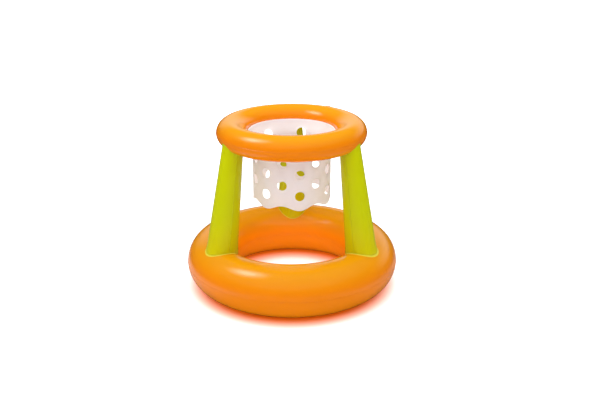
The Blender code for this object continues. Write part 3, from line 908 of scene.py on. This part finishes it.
view = {"lens": 52.42, "sensor": 36.0, "location": (0.0255, -2.583, 1.210), "tilt": 69.45}
light = {"dark": 0.045, "backdrop": 0.70, "backdropTurn": 18.0, "backdropWidth": 62.0,
         "backdropTop": 0.52, "backdropSoft": 0.22, "backdropBottom": 0.02, "backdropRise": 0.15,
         "overheadPower": 342.0, "overheadSize": 9.0, "overheadPlace": (-0.2, -0.3, 2.6),
         "innerPower": 0.37, "innerSize": 0.12, "innerPlace": (0.0, 0.0, 0.12),
         "innerColour": (1.0, 0.85, 0.7), "softboxes": ((0.44, 3.6), (0.70, 4.4), (1.00, 4.6)),
         "softboxPlace": (-0.90, -0.22, 1.58), "softboxAim": (0.0, 0.0, 0.25)}


def makeCamera():
    camera = addObject("camera", bpy.data.cameras.new("camera"))
    camera.data.lens = view["lens"]
    camera.data.sensor_width = view["sensor"]
    camera.location = view["location"]
    camera.rotation_euler = (math.radians(view["tilt"]), 0, 0)
    bpy.context.scene.camera = camera


def addAreaLamp(name, size, power, location, aim):
    lamp = bpy.data.lights.new(name, "AREA")
    lamp.shape = "DISK"
    lamp.size = size
    lamp.energy = power
    placed = addObject(name, lamp)
    placed.location = location
    away = (Vector(location) - Vector(aim)).normalized()
    placed.rotation_euler = away.to_track_quat("Z", "Y").to_euler()
    return placed


def makeLights():
    # a broad light from above gives the tone, a softbox at the upper left the highlights
    overhead = addAreaLamp("overhead", light["overheadSize"], light["overheadPower"],
                           light["overheadPlace"], (0, 0, 0))
    overhead.visible_glossy = overhead.visible_camera = False
    for width, power in light["softboxes"]:  # discs of falling brightness give it a soft edge
        softbox = addAreaLamp("softbox", width, power, light["softboxPlace"], light["softboxAim"])
        softbox.visible_diffuse = False

    # thin vinyl lets light through, so the inside of the base ring is nearly as bright as its
    # outside
    glow = bpy.data.lights.new("inner", "POINT")
    glow.energy = light["innerPower"]
    glow.shadow_soft_size = light["innerSize"]
    glow.color = light["innerColour"]
    inner = addObject("inner", glow)
    inner.location = light["innerPlace"]
    inner.visible_camera = inner.visible_glossy = False

    # a dark room with a bright backdrop behind the hoop, which the gloss mirrors at a slant; the
    # camera sees plain white
    world = bpy.data.worlds.new("studio")
    bpy.context.scene.world = world
    world.use_nodes = True
    tree = world.node_tree
    way = place(tree, "ShaderNodeTexCoord").outputs["Generated"]
    ray = place(tree, "ShaderNodeSeparateXYZ", {0: way})
    east, north, up = (Formula(tree, ray.outputs[axis]) for axis in "XYZ")
    turned = math.radians(light["backdropTurn"])
    aside = ((east * math.sin(turned) + north * math.cos(turned))
             / (east * east + north * north).run("SQRT"))
    beside = ramp(aside, math.cos(math.radians(light["backdropWidth"])), 1.0)
    top, bottom = light["backdropTop"], light["backdropBottom"]
    upright = ((1 - ramp(up, top - light["backdropSoft"], top))
               * ramp(up, bottom, bottom + light["backdropRise"]))
    room = beside * upright * light["backdrop"] + light["dark"]
    seen = Formula(tree, place(tree, "ShaderNodeLightPath").outputs["Is Camera Ray"])
    background = tree.nodes["Background"]
    wire(tree, room * (1 - seen) + seen, background.inputs["Strength"])
    background.inputs["Color"].default_value = (1, 1, 1, 1)


# light that comes through the orange sheet tints the floor beside the base: glowColour in what
# the floor reflects, weaker in the light that it throws back (bounced), and ember in the lift
# that brings it to white for the camera; the gloss mirrors a floor that is dimmed
ground = {"size": 20.0, "below": 0.0003, "colour": (0.90, 0.90, 0.90), "roughness": 0.9,
          "glowColour": (0.80, 0.25, 0.02), "ember": (0.78, 0.10, 0.004), "bounced": 0.10,
          "contact": baseRing["Radius"], "glowShift": 0.018, "glowFrom": 0.010, "glowTo": 0.094,
          "glowInside": 0.115, "lift": 0.50, "liftFar": 1.10, "nearEnds": 0.60, "farBegins": 2.20,
          "mirrored": 0.05, "mirroredLeft": 0.70, "mirroredRight": 0.42,
          "sideFrom": 0.20, "sideFull": 0.44, "sideFades": 0.20, "sideEnds": 0.55}


def makeFloor():
    work = bmesh.new()
    bmesh.ops.create_grid(work, x_segments=1, y_segments=1, size=ground["size"])
    mesh = meshFrom("floor", work)
    floor = addObject("floor", mesh)
    floor.location.z = -ground["below"]
    material = bpy.data.materials.new("floorWhite")
    material.use_nodes = True
    tree = material.node_tree
    shader = tree.nodes["Principled BSDF"]
    where = place(tree, "ShaderNodeTexCoord").outputs["Object"]
    spot = place(tree, "ShaderNodeSeparateXYZ", {0: where})
    east, north = Formula(tree, spot.outputs["X"]), Formula(tree, spot.outputs["Y"])
    path = place(tree, "ShaderNodeLightPath")
    seen = Formula(tree, path.outputs["Is Camera Ray"])

    # the glow beside the line where the base stands
    forward = north + ground["glowShift"]
    outside = (east * east + forward * forward).run("SQRT") - ground["contact"]
    reach = mix(ground["glowInside"], ground["glowTo"], outside.run("GREATER_THAN", 0.0))
    glow = 1 - ramp(outside.run("ABSOLUTE"), ground["glowFrom"], reach)
    tint = glow * mix(1, ground["bounced"], 1 - seen)
    tinted = colourMix(tree, tint, (*ground["colour"], 1), (*ground["glowColour"], 1))

    # what the gloss mirrors: more at the left and right of the base than elsewhere
    side = (ramp(east.run("ABSOLUTE"), ground["sideFrom"], ground["sideFull"])
            * (1 - ramp(outside, ground["sideFades"], ground["sideEnds"])))
    strength = mix(ground["mirroredLeft"], ground["mirroredRight"], east.run("GREATER_THAN", 0.0))
    dim = side * (strength - ground["mirrored"]) + ground["mirrored"]
    shade = 1 - Formula(tree, path.outputs["Is Glossy Ray"]) * (1 - dim)
    wire(tree, scaled(tree, tinted, shade), shader.inputs["Base Color"])
    shader.inputs["Roughness"].default_value = ground["roughness"]
    shader.inputs["Specular IOR Level"].default_value = 0.0
    ember = colourMix(tree, glow, (1, 1, 1, 1), (*ground["ember"], 1))
    wire(tree, ember, shader.inputs["Emission Color"])
    lift = mix(ground["lift"], ground["liftFar"],
               ramp(outside, ground["nearEnds"], ground["farBegins"]))
    wire(tree, seen * lift, shader.inputs["Emission Strength"])
    mesh.materials.append(material)


makeCamera()
makeLights()
makeFloor()
bpy.context.scene.view_settings.view_transform = "Standard"
print("stage: camera, lights and floor")
